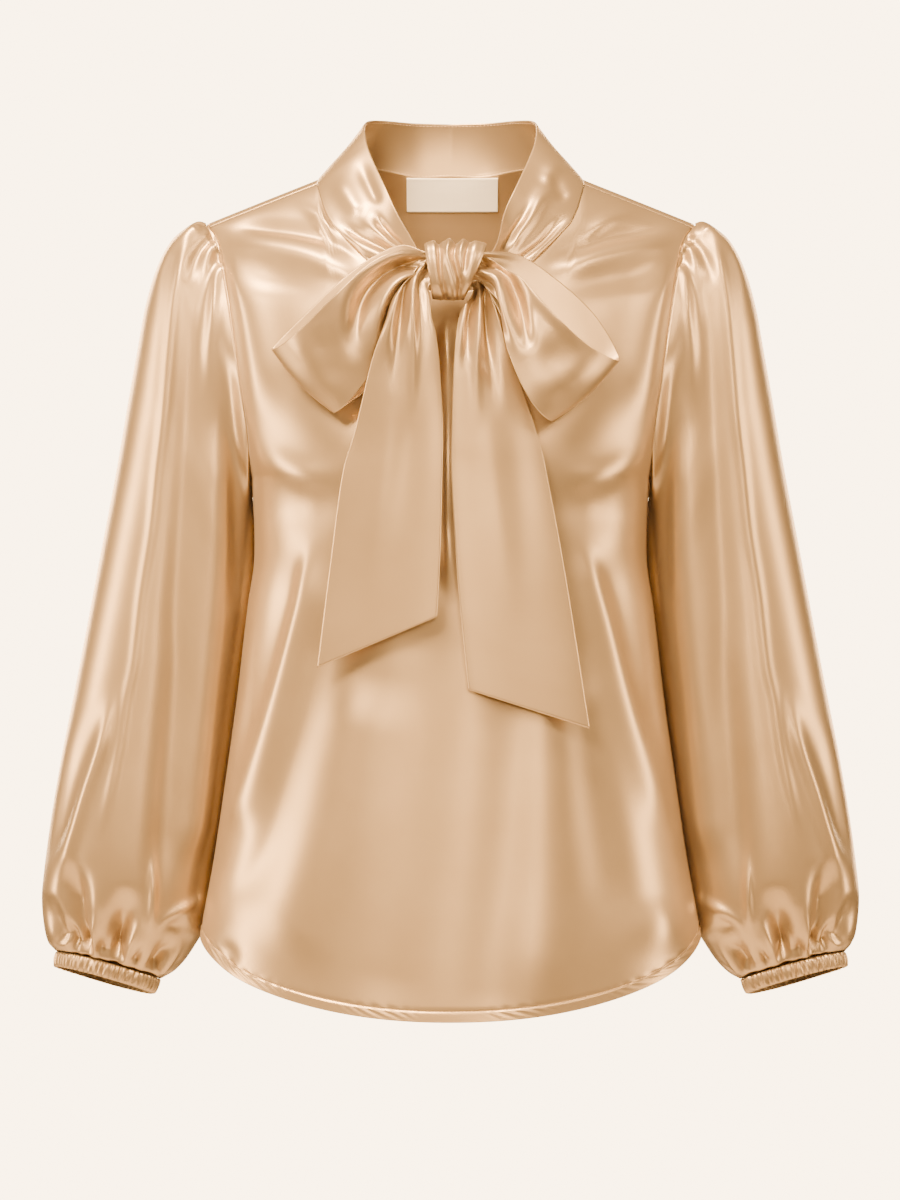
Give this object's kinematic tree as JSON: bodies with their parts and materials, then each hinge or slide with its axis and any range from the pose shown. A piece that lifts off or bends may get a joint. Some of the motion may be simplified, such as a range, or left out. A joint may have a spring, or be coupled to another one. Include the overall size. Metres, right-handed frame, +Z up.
{
  "type": "blouse",
  "caption": "Long-sleeved satin blouse with a neck band tied in a bow, gathered bishop sleeves, narrow elastic cuffs and a curved shirt-tail hem, filled out as when worn.",
  "frame": {"origin": "middle of the neck, level with the highest points of the shoulders, where the wearer holds the blouse up", "axes": "+Z up, -Y the way the front faces, +X to the viewer's right"},
  "size_m": [0.6586, 0.2662, 0.7153],
  "materials": {
    "satin": "smooth satin",
    "label": "woven ribbon"
  },
  "bodies": {
    "root": {"front": "satin", "back": "satin", "sleeve_left_front_upper": "satin", "sleeve_left_front_lower": "satin", "sleeve_left_back_upper": "satin", "sleeve_left_back_lower": "satin", "sleeve_right_front_upper": "satin", "sleeve_right_front_lower": "satin", "sleeve_right_back_upper": "satin", "sleeve_right_back_lower": "satin", "cuff_left": "satin", "cuff_right": "satin", "neck_band": "satin", "bow_knot": "satin", "bow_loop_left": "satin", "bow_loop_right": "satin", "tie_tail_left": "satin", "tie_tail_right": "satin", "neck_label": "label"}
  },
  "joints": []
}
